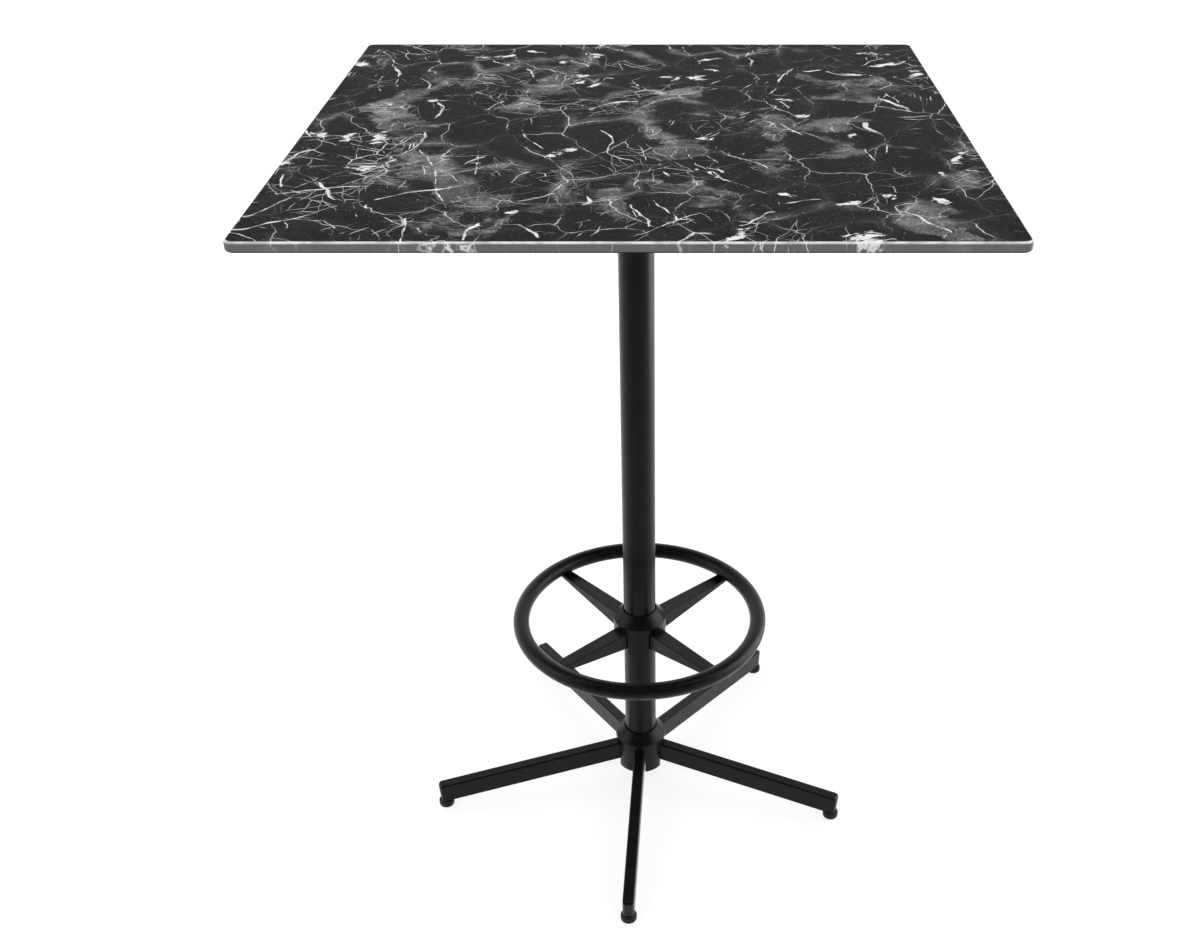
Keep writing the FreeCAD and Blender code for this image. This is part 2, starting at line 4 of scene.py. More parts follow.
import bpy
from mathutils import Euler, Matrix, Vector

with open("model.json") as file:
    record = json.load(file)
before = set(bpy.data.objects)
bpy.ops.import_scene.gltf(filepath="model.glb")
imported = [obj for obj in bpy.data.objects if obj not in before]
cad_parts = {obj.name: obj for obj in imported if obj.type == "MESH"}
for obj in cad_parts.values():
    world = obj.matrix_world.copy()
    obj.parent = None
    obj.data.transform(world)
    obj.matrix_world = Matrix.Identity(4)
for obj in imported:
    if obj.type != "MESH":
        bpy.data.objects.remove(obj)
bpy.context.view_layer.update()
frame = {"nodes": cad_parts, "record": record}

nodes = frame["nodes"]
scene = bpy.context.scene

# Camera: the photo is 1200 pixels wide, and its optical axis is right of the middle

PHOTO_WIDTH = 1200
FOCAL_PIXELS = 1382
SENSOR_WIDTH = 36
CAMERA_PLACE = (0.032, -1.705, 1.57)
CAMERA_PITCH = 30.6
CAMERA_SHIFT = -0.0505
VIEW_DEPTH = 100


def make_camera():
    data = bpy.data.cameras.new("camera")
    data.sensor_width = SENSOR_WIDTH
    data.lens = FOCAL_PIXELS / PHOTO_WIDTH * SENSOR_WIDTH
    data.shift_x = CAMERA_SHIFT
    data.clip_end = VIEW_DEPTH
    camera = bpy.data.objects.new("camera", data)
    camera.location = CAMERA_PLACE
    camera.rotation_euler = Euler((math.radians(90 - CAMERA_PITCH), 0, 0))
    scene.collection.objects.link(camera)
    scene.camera = camera


# Shader graphs

EDGE = "DISTANCE_TO_EDGE"


class Graph:
    """A shader built from nested calls, each of which adds a node and returns one of its outputs."""

    def __init__(self, owner):
        owner.use_nodes = True
        self.tree = owner.node_tree
        kinds = ("BSDF_PRINCIPLED", "BACKGROUND")
        self.shader = next(node for node in self.tree.nodes if node.type in kinds)

    def add(self, kind, output, inputs, **settings):
        node = self.tree.nodes.new(kind)
        for name, value in settings.items():
            setattr(node, name, value)
        for socket, value in inputs.items():
            self.feed(node.inputs[socket], value)
        return node.outputs[output]

    def feed(self, socket, value):
        if isinstance(value, bpy.types.NodeSocket):
            self.tree.links.new(value, socket)
        else:
            socket.default_value = value

    def set(self, **values):
        """Sets or joins the shader's sockets, written with underscores for spaces."""
        for name, value in values.items():
            self.feed(self.shader.inputs[name.replace("_", " ")], value)

    def place(self, kind="Object"):
        return self.add("ShaderNodeTexCoord", kind, {})

    def rays(self, *names):
        """1 for the rays of any of these kinds."""
        path = self.tree.nodes.new("ShaderNodeLightPath")
        return self.largest(*[path.outputs[name] for name in names])

    def math(self, operation, *values):
        return self.add("ShaderNodeMath", 0, dict(enumerate(values)), operation=operation)

    def vector(self, operation, *values, output=0):
        return self.add("ShaderNodeVectorMath", output, dict(enumerate(values)), operation=operation)

    def axis(self, vector, number):
        return self.add("ShaderNodeSeparateXYZ", number, {0: vector})

    def total(self, first, *others):
        for other in others:
            first = self.math("ADD", first, other)
        return first

    def product(self, first, *others):
        for other in others:
            first = self.math("MULTIPLY", first, other)
        return first

    def largest(self, first, *others):
        for other in others:
            first = self.math("MAXIMUM", first, other)
        return first

    def ramp(self, value, start, end, low=0.0, high=1.0, kind="SMOOTHSTEP"):
        """A step of a value, smooth unless its kind says otherwise, from low at start to high at end."""
        ends = {0: value, 1: start, 2: end, 3: low, 4: high}
        return self.add("ShaderNodeMapRange", 0, ends, interpolation_type=kind)

    def noise(self, place, scale, detail=2.0, roughness=0.5, output="Fac"):
        sockets = {"Vector": place, "Scale": scale, "Detail": detail, "Roughness": roughness}
        return self.add("ShaderNodeTexNoise", output, sockets)

    def cells(self, place, scale, feature="F1", output="Distance"):
        sockets = {"Vector": place, "Scale": scale}
        return self.add("ShaderNodeTexVoronoi", output, sockets, feature=feature, voronoi_dimensions="2D")

    def warp(self, place, scale, amount, detail=2.0):
        """A place pushed about by a noise, by up to about half the amount."""
        drift = self.noise(place, scale, detail, output="Color")
        centred = self.vector("SUBTRACT", drift, (0.5, 0.5, 0.5))
        return self.vector("MULTIPLY_ADD", centred, (amount, amount, amount), place)

    def shifted(self, place, amount):
        """A place moved along a slant, so that the same noise differs there."""
        return self.vector("ADD", place, (amount, -amount, 0.7 * amount))

    def turned(self, place, degrees, stretch):
        """A place turned about the upright axis and then stretched."""
        turn = (0, 0, math.radians(degrees))
        rolled = self.add("ShaderNodeMapping", 0, {"Vector": place, "Rotation": turn})
        return self.vector("MULTIPLY", rolled, stretch)

    def mix(self, factor, first, second):
        sockets = {0: factor, 6: first, 7: second}
        return self.add("ShaderNodeMix", 2, sockets, data_type="RGBA")

    def bump(self, height, strength, distance):
        sockets = {"Height": height, "Strength": strength, "Distance": distance}
        return self.add("ShaderNodeBump", 0, sockets)

    def curve(self, value, points):
        """A curve drawn through points, level before the first and after the last."""
        node = self.tree.nodes.new("ShaderNodeFloatCurve")
        line = node.mapping.curves[0].points
        line[0].location = (0, points[0][1])
        line[1].location = (1, points[-1][1])
        for x, y in points:
            line.new(x, y)
        for point in line:
            point.handle_type = "AUTO_CLAMPED"
        node.mapping.update()
        self.feed(node.inputs["Value"], value)
        return node.outputs[0]


class Material(Graph):
    """The graph of a new material."""

    def __init__(self, name):
        self.material = bpy.data.materials.new(name)
        super().__init__(self.material)


# The marble's larger features, placed in thousandths of the top's side from its far left corner.
# A stroke is a row of points, each with its half width. It narrows to nothing over STROKE_END past its ends,
# and its width is raised by STROKE_DROP while it is drawn, because a curve has no values below 0.
# A blot has a half length, a half width and a turn.

STROKE_END = 0.02
STROKE_DROP = 0.06
SMOKE = (
    ((170, 8, 22), (182, 45, 7), (188, 85, 3)),
    ((165, 240, 12), (178, 272, 28), (158, 312, 22), (130, 350, 24), (103, 395, 30), (104, 435, 34),
     (122, 475, 42), (150, 520, 38), (176, 560, 20), (187, 612, 6)),
    ((342, 105, 12), (312, 122, 22), (282, 150, 18), (262, 185, 12), (240, 215, 8), (216, 270, 12),
     (196, 300, 14)),
    ((300, 112, 18), (340, 108, 22), (380, 125, 12), (412, 152, 5)),
    ((375, 165, 8), (370, 205, 12), (358, 260, 26), (352, 310, 28), (343, 350, 18), (326, 388, 20),
     (320, 422, 30), (322, 455, 8)),
    ((500, 384, 9), (520, 377, 8), (540, 356, 8), (562, 338, 10), (586, 328, 16), (602, 318, 12)),
    ((495, 388, 14), (506, 430, 15), (509, 470, 11), (522, 520, 9), (540, 560, 18), (556, 600, 30),
     (560, 640, 38), (545, 672, 28)),
    ((548, 398, 5), (562, 425, 7), (586, 446, 7), (606, 461, 11), (640, 462, 15), (664, 474, 10)),
    ((668, 432, 6), (690, 452, 12), (708, 478, 16), (715, 512, 18), (712, 552, 15), (705, 592, 11),
     (699, 632, 9), (690, 682, 8), (688, 730, 14), (680, 762, 18)),
    ((828, 474, 18), (806, 496, 34), (788, 530, 24), (791, 572, 18), (799, 610, 17), (797, 640, 22),
     (778, 668, 18)),
    ((840, 262, 24), (845, 300, 35), (845, 332, 36), (836, 360, 44), (858, 386, 12)),
    ((768, 236, 5), (796, 246, 8), (818, 262, 10), (880, 270, 12), (915, 250, 14)),
    ((186, 622, 6), (195, 660, 26), (204, 700, 38), (220, 740, 44), (248, 778, 42), (262, 810, 36),
     (298, 840, 36), (312, 862, 26), (290, 890, 14), (270, 925, 30), (266, 945, 28), (285, 975, 10)),
    ((475, 802, 9), (474, 850, 12), (480, 920, 13)),
    ((532, 765, 14), (545, 790, 20), (570, 815, 16), (588, 840, 12), (593, 866, 10)),
    ((592, 772, 6), (604, 802, 10), (628, 830, 9)),
    ((886, 862, 18), (885, 892, 26), (882, 930, 30), (890, 965, 24), (918, 992, 32)),
    ((322, 962, 8), (336, 920, 10), (372, 882, 10), (412, 876, 6)),
    ((960, 742, 12), (968, 768, 18), (955, 795, 8)),
    ((415, 682, 5), (405, 760, 7), (411, 830, 8), (416, 868, 6)),
)
VEINS = (
    ((28, 30, 2), (42, 70, 3), (62, 122, 3), (84, 200, 4), (98, 285, 2), (118, 348, 2)),
    ((86, 205, 3), (112, 228, 2), (148, 268, 4), (154, 312, 3)),
    ((424, 424, 3), (446, 402, 5), (470, 388, 6), (500, 383, 5)),
    ((580, 5, 2), (590, 60, 3), (604, 108, 3), (610, 140, 3), (602, 180, 2)),
    ((700, 2, 2), (706, 60, 3), (698, 92, 2), (703, 130, 4), (700, 172, 3)),
    ((772, 172, 2), (745, 240, 4), (736, 296, 3), (722, 330, 3), (714, 356, 3)),
    ((752, 164, 2), (742, 236, 2)),
    ((762, 166, 2), (744, 238, 2)),
    ((936, 230, 4), (950, 252, 3), (966, 288, 3), (985, 322, 3), (999, 350, 3)),
    ((413, 440, 2), (430, 502, 2), (456, 552, 3), (470, 592, 4), (465, 640, 4), (480, 668, 4),
     (502, 686, 3)),
    ((525, 532, 3), (562, 588, 2), (590, 706, 3), (640, 780, 3), (672, 812, 3), (692, 836, 3),
     (695, 872, 2)),
    ((618, 616, 2), (636, 660, 3), (664, 684, 3), (686, 722, 2)),
    ((2, 958, 4), (54, 930, 4), (80, 910, 4), (96, 888, 3), (140, 856, 3), (166, 845, 3),
     (206, 812, 4), (236, 805, 4), (270, 792, 3), (300, 768, 3)),
    ((192, 545, 3), (188, 590, 4), (180, 620, 4), (160, 670, 3), (144, 714, 4)),
    ((80, 780, 5), (90, 812, 5), (106, 846, 3), (126, 856, 2), (145, 892, 2), (160, 934, 2),
     (170, 996, 2)),
    ((185, 620, 3), (206, 682, 3), (221, 722, 3), (232, 790, 3), (250, 846, 3), (265, 880, 2),
     (254, 934, 3)),
    ((853, 498, 7), (857, 530, 6), (868, 560, 4), (873, 592, 3), (868, 655, 2)),
    ((893, 350, 2), (900, 380, 5), (918, 405, 7), (932, 428, 3)),
    ((696, 862, 2), (722, 858, 4), (752, 846, 3)),
    ((330, 502, 2), (335, 560, 3), (352, 600, 4), (368, 628, 3)),
    ((606, 126, 4), (622, 120, 4), (636, 108, 4), (655, 104, 3)),
    ((788, 196, 3), (802, 194, 5), (816, 190, 3)),
    ((822, 200, 3), (838, 214, 5), (860, 222, 6), (884, 222, 4)),
    ((908, 168, 4), (930, 152, 7), (950, 148, 7), (970, 130, 6)),
    ((885, 158, 3), (900, 140, 4), (920, 124, 3)),
    ((960, 232, 5), (976, 224, 7), (993, 214, 6)),
    ((832, 2, 3), (845, 18, 4), (858, 32, 4), (868, 46, 4)),
    ((903, 45, 3), (915, 25, 3), (930, 8, 3)),
    ((699, 62, 3), (696, 78, 4), (694, 94, 3)),
    ((732, 385, 3), (740, 402, 3), (744, 420, 4)),
    ((908, 338, 3), (914, 362, 4), (921, 392, 3)),
    ((722, 508, 3), (735, 535, 4), (752, 565, 3)),
    ((839, 630, 3), (841, 660, 4), (847, 692, 3)),
    ((718, 642, 3), (722, 668, 4), (720, 688, 3)),
    ((600, 655, 3), (607, 672, 3), (616, 695, 3)),
    ((538, 692, 3), (541, 725, 3), (549, 756, 4)),
    ((500, 868, 4), (512, 905, 4), (520, 940, 4)),
    ((507, 972, 3), (530, 948, 4), (556, 925, 4), (580, 900, 3), (610, 885, 3)),
    ((530, 850, 3), (545, 890, 3), (556, 922, 4)),
    ((640, 945, 3), (662, 920, 4), (690, 892, 3)),
    ((848, 884, 3), (872, 915, 4), (890, 945, 4), (905, 972, 3)),
    ((78, 175, 4), (84, 195, 5), (88, 228, 3)),
    ((62, 218, 2), (70, 290, 3), (80, 345, 2)),
    ((312, 182, 3), (318, 192, 5), (324, 232, 4)),
    ((236, 318, 3), (252, 335, 4), (268, 360, 3), (287, 388, 3)),
    ((259, 434, 3), (272, 412, 4), (290, 386, 4)),
    ((176, 365, 3), (182, 390, 4), (195, 420, 4), (193, 478, 3)),
    ((385, 122, 4), (400, 140, 4), (416, 168, 3)),
    ((396, 5, 3), (398, 45, 3), (405, 80, 3)),
    ((440, 262, 4), (448, 240, 4), (462, 242, 3)),
    ((243, 122, 3), (257, 142, 4), (275, 166, 3)),
    ((2, 520, 4), (8, 550, 4), (18, 575, 3)),
    ((15, 552, 5), (40, 562, 6), (68, 570, 6), (80, 592, 5)),
    ((2, 695, 5), (14, 668, 6), (40, 640, 4)),
    ((88, 600, 3), (110, 620, 4), (140, 652, 3)),
    ((140, 632, 4), (160, 602, 4), (188, 556, 4)),
    ((16, 745, 4), (20, 770, 4), (24, 792, 4)),
    ((22, 820, 3), (80, 806, 4), (150, 796, 3)),
    ((10, 908, 4), (28, 880, 4), (55, 834, 3)),
    ((2, 962, 4), (20, 978, 4), (42, 996, 3)),
    ((285, 662, 4), (275, 674, 4), (263, 700, 3)),
    ((274, 640, 3), (278, 690, 3), (283, 742, 3)),
    ((222, 664, 4), (236, 658, 4), (246, 650, 3)),
    ((337, 780, 3), (346, 762, 4), (361, 735, 3)),
    ((345, 856, 3), (372, 842, 4), (402, 824, 3)),
    ((446, 832, 4), (450, 852, 6), (441, 872, 4)),
    ((216, 915, 3), (222, 945, 4), (222, 994, 3)),
    ((150, 868, 3), (178, 905, 3), (200, 930, 3), (222, 955, 3)),
    ((309, 935, 4), (300, 965, 4), (298, 992, 3)),
    ((330, 936, 3), (355, 940, 4), (375, 962, 4), (386, 985, 3)),
    ((240, 948, 3), (250, 972, 3), (262, 998, 3)),
    ((168, 932, 2), (180, 962, 3), (196, 992, 2)),
    ((45, 895, 2), (60, 925, 3), (75, 955, 2)),
    ((110, 905, 2), (135, 950, 3), (160, 995, 2)),
)
BLOTS = (
    (247, 96, 46, 11, -14), (312, 62, 24, 6, 10), (472, 15, 22, 8, 5), (431, 12, 9, 13, 0),
    (422, 90, 8, 24, 8), (567, 245, 9, 24, 12), (602, 234, 12, 17, 0), (548, 232, 14, 14, 0),
    (918, 77, 26, 15, 10), (403, 222, 15, 20, 0), (404, 265, 11, 13, 20), (431, 283, 8, 17, 35),
    (620, 119, 24, 6, -40), (632, 190, 24, 5, 20), (732, 370, 25, 7, 0), (757, 462, 12, 18, 0),
    (862, 219, 30, 7, 8), (930, 152, 30, 8, -28), (978, 220, 22, 7, -28), (12, 145, 18, 16, 20),
    (120, 580, 15, 40, -15), (76, 574, 10, 22, 10), (30, 556, 14, 16, 0), (408, 634, 26, 12, -25),
    (386, 660, 12, 12, 0), (966, 668, 9, 42, 25), (972, 725, 16, 8, 20), (927, 738, 8, 16, -20),
    (825, 566, 6, 16, 5), (600, 580, 8, 11, 0), (618, 584, 8, 9, 0), (792, 988, 34, 20, 10),
    (636, 972, 9, 34, 30), (613, 720, 30, 4, 52), (604, 738, 30, 4, 52), (118, 712, 26, 11, 0),
    (350, 895, 8, 12, 20), (910, 852, 8, 16, -20), (10, 690, 10, 30, 20), (786, 864, 16, 10, -20),
    (815, 840, 14, 10, 0), (840, 832, 10, 8, 0), (708, 828, 10, 12, 0), (168, 375, 14, 10, 0),
    (368, 140, 8, 13, 0), (978, 192, 18, 8, -25),
)
CRAZED_BLOT = (70, 660, 130, 170, 0)
FEATHER_TURN = -22

# A set of cracks has a turn, a shift of its noise, cells per metre along and across it, and a weight.
# A set of flakes has a turn, a shift and cells per metre along it, and is thinner than long by FLAKE_RATIO.

CRACKS = (
    (35, 0.0, 14, 30, 0.9), (-50, 1.7, 11, 34, 0.9), (75, 3.9, 12, 44, 0.9), (-40, 6.3, 7, 26, 0.8),
    (60, 9.1, 6, 24, 0.8), (-20, 11.3, 9, 40, 0.8),
)
FLAKES = ((25, 2.3, 14), (-55, 7.9, 13), (-80, 9.7, 12), (5, 4.1, 15))
FLAKE_RATIO = 17

# The weights with which the marble's layers add up to its tone

SMOKE_TONE = 0.26
WEB_TONE = 0.4
RIM_TONE = 0.28
WHITE_TONE = 0.92
WHITEST = 0.9
# Painted light: how much lighter the top's upright sides are made, in place of the light that falls on them
PAINTED_SIDE_LIGHT_TONE = 0.17


class Marble(Material):
    """Black marble: dark pebbles in a net of smoky grey, thin white veins, flakes and blotches."""

    def __init__(self, name, side):
        super().__init__(name)
        self.to_plan = (1 / side, -1 / side, 0)
        self.spot = self.place()
        self.wobbly = self.warp(self.warp(self.spot, 10, 0.02), 42, 0.01, 4)
        flat = self.on_plan(self.wobbly)
        self.plan = [self.axis(flat, number) for number in (0, 1)]
        self.torn = self.on_plan(self.warp(self.warp(self.spot, 45, 0.03, 4), 150, 0.012, 4))
        self.bent = self.warp(self.warp(self.warp(self.spot, 3.0, 0.13), 11, 0.06, 3), 34, 0.02, 3)
        self.cracked = self.warp(self.warp(self.spot, 9, 0.04), 40, 0.01, 3)
        self.pebbles = self.turned(self.bent, 0, (14, 11, 1))
        self.gap = self.cells(self.pebbles, 1, EDGE)
        self.depth = self.smoke_depth()
        self.soft = self.ramp(self.depth, -0.014, 0.022)

    def on_plan(self, place):
        """A place in shares of the top's side, from its far left corner."""
        return self.vector("MULTIPLY_ADD", place, self.to_plan, (0.5, 0.5, 0))

    def stroke(self, points):
        """How deep a place lies in a stroke drawn on the plan."""
        down = all(first[1] < second[1] for first, second in zip(points, points[1:]))
        along, across = (1, 0) if down else (0, 1)
        middle = [(point[along] / 1000, point[across] / 1000) for point in points]
        half = [(point[along] / 1000, STROKE_DROP + point[2] / 1000) for point in points]
        half = [(half[0][0] - STROKE_END, 0), *half, (half[-1][0] + STROKE_END, 0)]
        off = self.math("SUBTRACT", self.plan[across], self.curve(self.plan[along], middle))
        outside = self.total(self.math("ABSOLUTE", off), STROKE_DROP)
        return self.math("SUBTRACT", self.curve(self.plan[along], half), outside)

    def blot(self, x, y, length, width, degrees):
        """How deep a place lies in an oval on the plan: 1 in its middle and 0 on its rim."""
        sockets = {"Vector": self.torn, "Location": (x / 1000, y / 1000, 0)}
        sockets["Rotation"] = (0, 0, math.radians(degrees))
        sockets["Scale"] = (length / 1000, width / 1000, 1)
        oval = self.add("ShaderNodeMapping", 0, sockets, vector_type="TEXTURE")
        return self.math("SUBTRACT", 1.0, self.vector("LENGTH", oval, output="Value"))

    def parts(self, shift, scale, detail, start, end, low=0.0, high=1.0, roughness=0.5):
        """The parts of the top in which a layer shows."""
        noise = self.noise(self.shifted(self.spot, shift), scale, detail, roughness)
        return self.ramp(noise, start, end, low, high)

    def smoke_depth(self):
        """How deep a place lies in the drawn smoke, which thins over the pebbles and frays."""
        drawn = self.largest(*[self.stroke(points) for points in SMOKE])
        pebbled = self.ramp(self.cells(self.pebbles, 1), 0.08, 0.5, -0.014, 0.012)
        frayed = self.noise(self.shifted(self.wobbly, 3.3), 24, 6, 0.72)
        return self.total(drawn, pebbled, self.ramp(frayed, 0.3, 0.7, -0.024, 0.014))

    def smoke(self):
        """The drawn smoke, and a fainter one between some of the pebbles."""
        some = self.ramp(self.parts(0.4, 4.5, 2, 0.5, 0.62), 0, 1, 0.06, 0.7)
        loose = self.product(self.ramp(self.gap, 0.0, 0.2, 1, 0), some)
        cloud = self.ramp(self.noise(self.wobbly, 34, 8, 0.74), 0.32, 0.7, 0.1, 1.15)
        patchy = self.ramp(self.noise(self.shifted(self.wobbly, 1.9), 10, 3), 0.36, 0.64, 0.4, 1.15)
        sandy = self.ramp(self.noise(self.spot, 340, 3, 0.7), 0.35, 0.65, 0.6, 1.4)
        return self.product(self.largest(loose, self.soft), cloud, patchy, sandy)

    def rims(self):
        """Thin lines along the borders of the smoke."""
        line = self.ramp(self.math("ABSOLUTE", self.depth), 0.0, 0.0018, 1, 0)
        return self.product(line, self.parts(2.2, 16, 3, 0.4, 0.58))

    def web(self):
        """A tangle of thin lines inside the smoke."""
        tangled = self.warp(self.warp(self.shifted(self.spot, 6.1), 9, 0.07), 34, 0.03, 4)
        line = self.ramp(self.cells(tangled, 26, EDGE), 0.0, 0.035, 1, 0)
        return self.product(line, self.soft, self.parts(4.4, 20, 3, 0.42, 0.6))

    def net(self):
        """Lines between the pebbles."""
        line = self.ramp(self.gap, 0.001, 0.012, 1, 0)
        return self.product(line, self.parts(1.3, 14, 4, 0.46, 0.62, 0.06, 0.75))

    def veins(self):
        """The drawn veins, which a noise narrows and dims in places."""
        drawn = self.largest(*[self.stroke(points) for points in VEINS])
        narrowed = self.ramp(self.noise(self.spot, 45, 4, 0.65), 0.3, 0.7, -0.0043, -0.0014)
        line = self.ramp(self.total(drawn, narrowed), -0.0008, 0.0003)
        return self.product(line, self.ramp(self.noise(self.spot, 30, 3), 0.35, 0.6, 0.45, 1))

    def blotches(self):
        """The drawn white blotches, torn into feathers."""
        drawn = self.largest(*[self.blot(*blot) for blot in BLOTS])
        run = self.turned(self.warp(self.spot, 16, 0.06, 4), FEATHER_TURN, (28, 90, 1))
        feather = self.noise(run, 1, 5, 0.75)
        drawn = self.total(drawn, self.ramp(feather, 0.3, 0.7, -0.95, 0.32))
        return self.product(self.ramp(drawn, 0.0, 0.3), self.ramp(feather, 0.35, 0.6, 0.4, 1))

    def cracks(self):
        """Sets of thin cracks, gathered in the busy parts."""
        busy = self.parts(8.2, 6, 3, 0.45, 0.6, roughness=0.55)
        sets = []
        for degrees, shift, length, width, weight in CRACKS:
            run = self.turned(self.shifted(self.cracked, shift), degrees, (length, width, 1))
            line = self.ramp(self.cells(run, 1, EDGE), 0.002, 0.011, weight, 0)
            shown = self.parts(shift + 5, 11, 4, 0.54, 0.62, roughness=0.6)
            sets.append(self.product(line, shown, busy))
        return self.largest(*sets)

    def crazing(self):
        """A patch of crackled lines near the left edge."""
        line = self.ramp(self.cells(self.cracked, 30, EDGE), 0.006, 0.034, 1, 0)
        patch = self.ramp(self.blot(*CRAZED_BLOT), 0.0, 0.4)
        return self.product(line, patch, self.parts(3.1, 22, 3, 0.45, 0.6))

    def flakes(self):
        """Sets of short white needles in scattered groups."""
        sets = []
        for degrees, shift, length in FLAKES:
            stretch = (length, FLAKE_RATIO * length, 1)
            run = self.turned(self.shifted(self.cracked, shift), degrees, stretch)
            needle = self.ramp(self.cells(run, 1), 0.1, 0.22, 1, 0)
            chosen = self.ramp(self.cells(run, 1, output="Color"), 0.5, 0.6)
            sets.append(self.product(needle, chosen, self.parts(shift, 8, 3, 0.64, 0.7)))
        return self.largest(*sets)

    def white(self):
        speckle = self.ramp(self.noise(self.spot, 300, 2), 0.68, 0.76)
        lines = self.largest(self.net(), self.product(self.crazing(), 0.85), self.veins(), self.cracks())
        flakes = self.product(self.flakes(), 0.8)
        return self.largest(lines, flakes, self.blotches(), self.product(speckle, 0.3))

    def ground(self):
        """Near black, with a fine grain and a tone of its own for each pebble."""
        grain = self.ramp(self.noise(self.spot, 420, 4, 0.7), 0.25, 0.8, 0.001, 0.012)
        pebble = self.ramp(self.cells(self.bent, 9.5, output="Color"), 0, 1, 0.7, 1.4)
        mottled = self.ramp(self.noise(self.bent, 24, 5, 0.65), 0.3, 0.75, 0.5, 2.2)
        sandy = self.ramp(self.noise(self.spot, 150, 4, 0.75), 0.35, 0.7, 0.4, 1.9)
        return self.product(grain, pebble, mottled, sandy)

    def painted_edge_light(self, facing, upright):
        """Painted light on the top's sides, and a painted highlight along its upper rounding."""
        # Painted light: the upright sides are lightened in place of the light that falls on them
        painted_side_light = self.ramp(upright, 0.3, 0.5, PAINTED_SIDE_LIGHT_TONE, 0.0)
        # Painted highlight: a bright line on the upper rounding, where a lamp's reflection would show
        painted_arris_highlight = self.product(self.ramp(facing, 0.3, 0.5), self.ramp(facing, 0.92, 0.985, 1, 0))
        # A noise makes the painted highlight uneven
        highlight_unevenness = self.ramp(self.noise(self.spot, 60, 3), 0.3, 0.7, 0.5, 0.85)
        return self.total(painted_side_light, self.product(painted_arris_highlight, highlight_unevenness))

    def tone(self, facing, upright):
        """All layers together, with the painted edge light, and a plain dark backing on the underside."""
        tone = self.total(self.ground(), self.painted_edge_light(facing, upright))
        tone = self.total(tone, self.product(self.smoke(), SMOKE_TONE))
        tone = self.total(tone, self.product(self.web(), WEB_TONE))
        tone = self.total(tone, self.product(self.rims(), RIM_TONE))
        tone = self.total(tone, self.product(self.white(), WHITE_TONE))
        tone = self.math("MINIMUM", tone, WHITEST)
        backing = self.ramp(self.noise(self.spot, 260, 4, 0.7), 0.3, 0.7, 0.008, 0.02)
        below = self.ramp(facing, -0.7, -0.5, 1, 0)
        return self.add("ShaderNodeMix", 0, {0: below, 2: tone, 3: backing})


def marble_laminate():
    g = Marble("black_marble_laminate", nodes["table_top"].dimensions.x)
    facing = g.axis(g.add("ShaderNodeNewGeometry", "Normal", {}), 2)
    upright = g.math("ABSOLUTE", facing)
    g.set(Base_Color=g.tone(facing, upright), Specular_IOR_Level=0.06)
    g.set(Roughness=g.ramp(upright, 0.9, 0.99, 0.24, 0.6))
    return g.material


# The other materials

THREAD_PITCH = 0.00125


def powder_coat():
    """Black powder coat: a fine grain that breaks up the sheen."""
    g = Material("black_powder_coat")
    place = g.place()
    tone = g.ramp(g.noise(place, 35, 3), 0.3, 0.7)
    g.set(Base_Color=g.mix(tone, (0.004, 0.004, 0.0042, 1), (0.007, 0.007, 0.0073, 1)))
    g.set(Roughness=g.ramp(g.noise(place, 90, 3), 0.3, 0.7, 0.28, 0.36))
    g.set(Specular_IOR_Level=0.5, Specular_Tint=(0.17, 0.17, 0.17, 1))
    g.set(Normal=g.bump(g.noise(place, 1500, 2), 0.12, 0.0003))
    return g.material


def zinc(threaded=False):
    """Zinc plating with a fine crystal cloud, and grooves of a thread's pitch where it is threaded."""
    g = Material("zinc_thread" if threaded else "zinc_plating")
    place = g.place()
    cloud = g.noise(place, 240, 3)
    g.set(Base_Color=g.mix(cloud, (0.50, 0.51, 0.53, 1), (0.64, 0.64, 0.62, 1)), Metallic=1.0)
    g.set(Roughness=g.ramp(g.noise(place, 600, 2), 0.3, 0.7, 0.22, 0.38))
    if threaded:
        groove = g.math("PINGPONG", g.axis(place, 2), THREAD_PITCH / 2)
        g.set(Normal=g.bump(g.math("DIVIDE", groove, THREAD_PITCH / 2), 0.8, THREAD_PITCH / 2))
    return g.material


def brass():
    """Turned brass with a faint cloud."""
    g = Material("turned_brass")
    cloud = g.noise(g.place(), 300, 3)
    g.set(Base_Color=g.mix(cloud, (0.60, 0.43, 0.16, 1), (0.74, 0.56, 0.26, 1)), Metallic=1.0)
    g.set(Roughness=g.ramp(cloud, 0.3, 0.7, 0.22, 0.34))
    return g.material


def moulded_nylon():
    """Black nylon with the fine grain of a mould."""
    g = Material("black_nylon")
    place = g.place()
    tone = g.noise(place, 120, 3)
    g.set(Base_Color=g.mix(tone, (0.010, 0.010, 0.010, 1), (0.018, 0.018, 0.018, 1)))
    g.set(Roughness=g.ramp(g.noise(place, 400, 2), 0.3, 0.7, 0.4, 0.55), Specular_IOR_Level=0.15)
    g.set(Normal=g.bump(g.noise(place, 2500, 2), 0.1, 0.0002))
    return g.material


def dress():
    makers = {"top_laminate": marble_laminate, "black_powder_coat": powder_coat}
    makers.update({"zinc_steel": zinc, "brass_insert": brass, "black_plastic": moulded_nylon})
    made = {slot: make() for slot, make in makers.items()}
    thread = zinc(threaded=True)
    for subpart in frame["record"]["subparts"]:
        name = subpart["node"]
        threaded = name == "tie_rod" or name.startswith("glide_stud")
        for slot in nodes[name].material_slots:
            slot.material = thread if threaded else made[subpart["material_slot"]]


# Studio: a white room, whose gloss darkens upwards and towards the camera, over these values of its slope.
# The world lights the colours, and the lamps show in the gloss only.

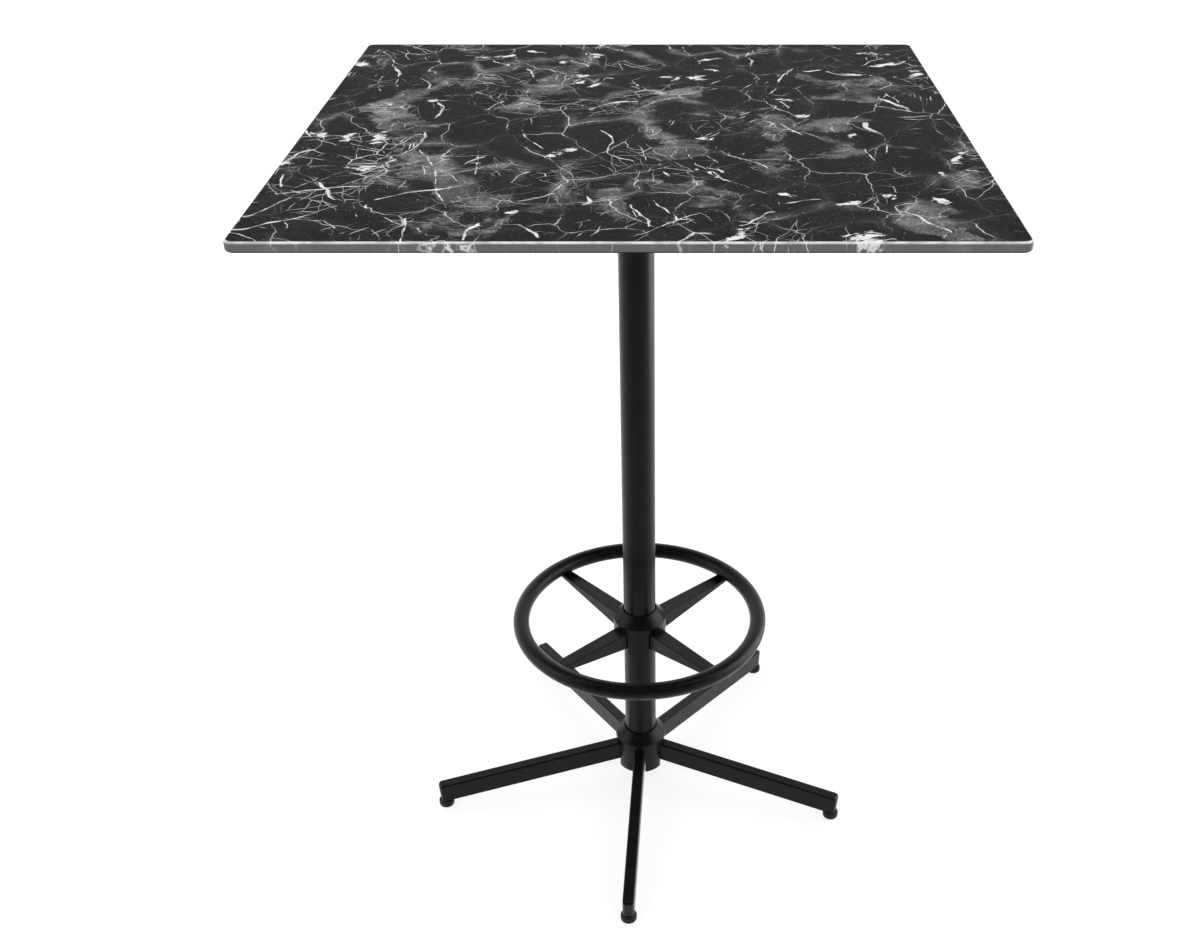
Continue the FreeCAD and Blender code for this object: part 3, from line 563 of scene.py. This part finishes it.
SKY_SLOPE = (0, -0.5, 1)
SKY = (0.3, 0.75, 1.0, 0.05)
LAMPS = (
    ("strip", (0, -0.5, 2.4), (0, -0.45, 1.06), (2.6, 0.4), 45),
    ("left_box", (-2.6, -0.6, 1.6), (0, 0, 0.6), (1.6, 2.0), 26),
    ("right_box", (2.6, -0.4, 1.6), (0, 0, 0.6), (1.6, 2.0), 26),
    ("low_box", (1.5, 0.25, 0.6), (0, 0, 0.5), (1.2, 1.2), 12),
)

# The floor glows less near the table, so that its shadow shows, over these distances from the middle

FLOOR_GLOW = (0.8, 3.0, 0.75, 0.96)
FLOOR_TONE = 0.4
FLOOR_RADIUS = 60
FLOOR_CORNERS = 64
FLOOR_DROP = 0.0005


def make_world():
    scene.world = bpy.data.worlds.new("studio")
    g = Graph(scene.world)
    slope = g.vector("DOT_PRODUCT", g.place("Generated"), SKY_SLOPE, output="Value")
    g.set(Color=g.largest(g.ramp(slope, *SKY), g.rays("Is Camera Ray", "Is Diffuse Ray")))
    g.set(Strength=1.0)


def floor_material():
    """A matt white floor, which glows for the rays that see the background and keeps the shadow."""
    g = Material("studio_floor")
    away = g.vector("LENGTH", g.place(), output="Value")
    glow = g.ramp(away, *FLOOR_GLOW, kind="LINEAR")
    shown = g.rays("Is Camera Ray", "Is Glossy Ray", "Is Transmission Ray")
    g.set(Base_Color=(FLOOR_TONE, FLOOR_TONE, FLOOR_TONE, 1), Roughness=1.0, Specular_IOR_Level=0.0)
    g.set(Emission_Color=(1, 1, 1, 1), Emission_Strength=g.product(shown, glow))
    return g.material


def make_floor():
    turns = [math.tau * step / FLOOR_CORNERS for step in range(FLOOR_CORNERS)]
    rim = [(FLOOR_RADIUS * math.cos(turn), FLOOR_RADIUS * math.sin(turn), -FLOOR_DROP) for turn in turns]
    mesh = bpy.data.meshes.new("floor")
    mesh.from_pydata(rim, [], [list(range(FLOOR_CORNERS))])
    mesh.materials.append(floor_material())
    floor = bpy.data.objects.new("floor", mesh)
    scene.collection.objects.link(floor)


def make_lamp(name, place, aim, size, power):
    """A lamp that shows in the gloss only."""
    data = bpy.data.lights.new(name, "AREA")
    data.shape = "RECTANGLE"
    data.size, data.size_y = size
    data.energy = power
    lamp = bpy.data.objects.new(name, data)
    lamp.location = place
    lamp.rotation_euler = (Vector(aim) - Vector(place)).to_track_quat("-Z", "Y").to_euler()
    lamp.visible_diffuse = False
    scene.collection.objects.link(lamp)


make_camera()
dress()
make_world()
make_floor()
for lamp in LAMPS:
    make_lamp(*lamp)
scene.view_settings.view_transform = "Standard"
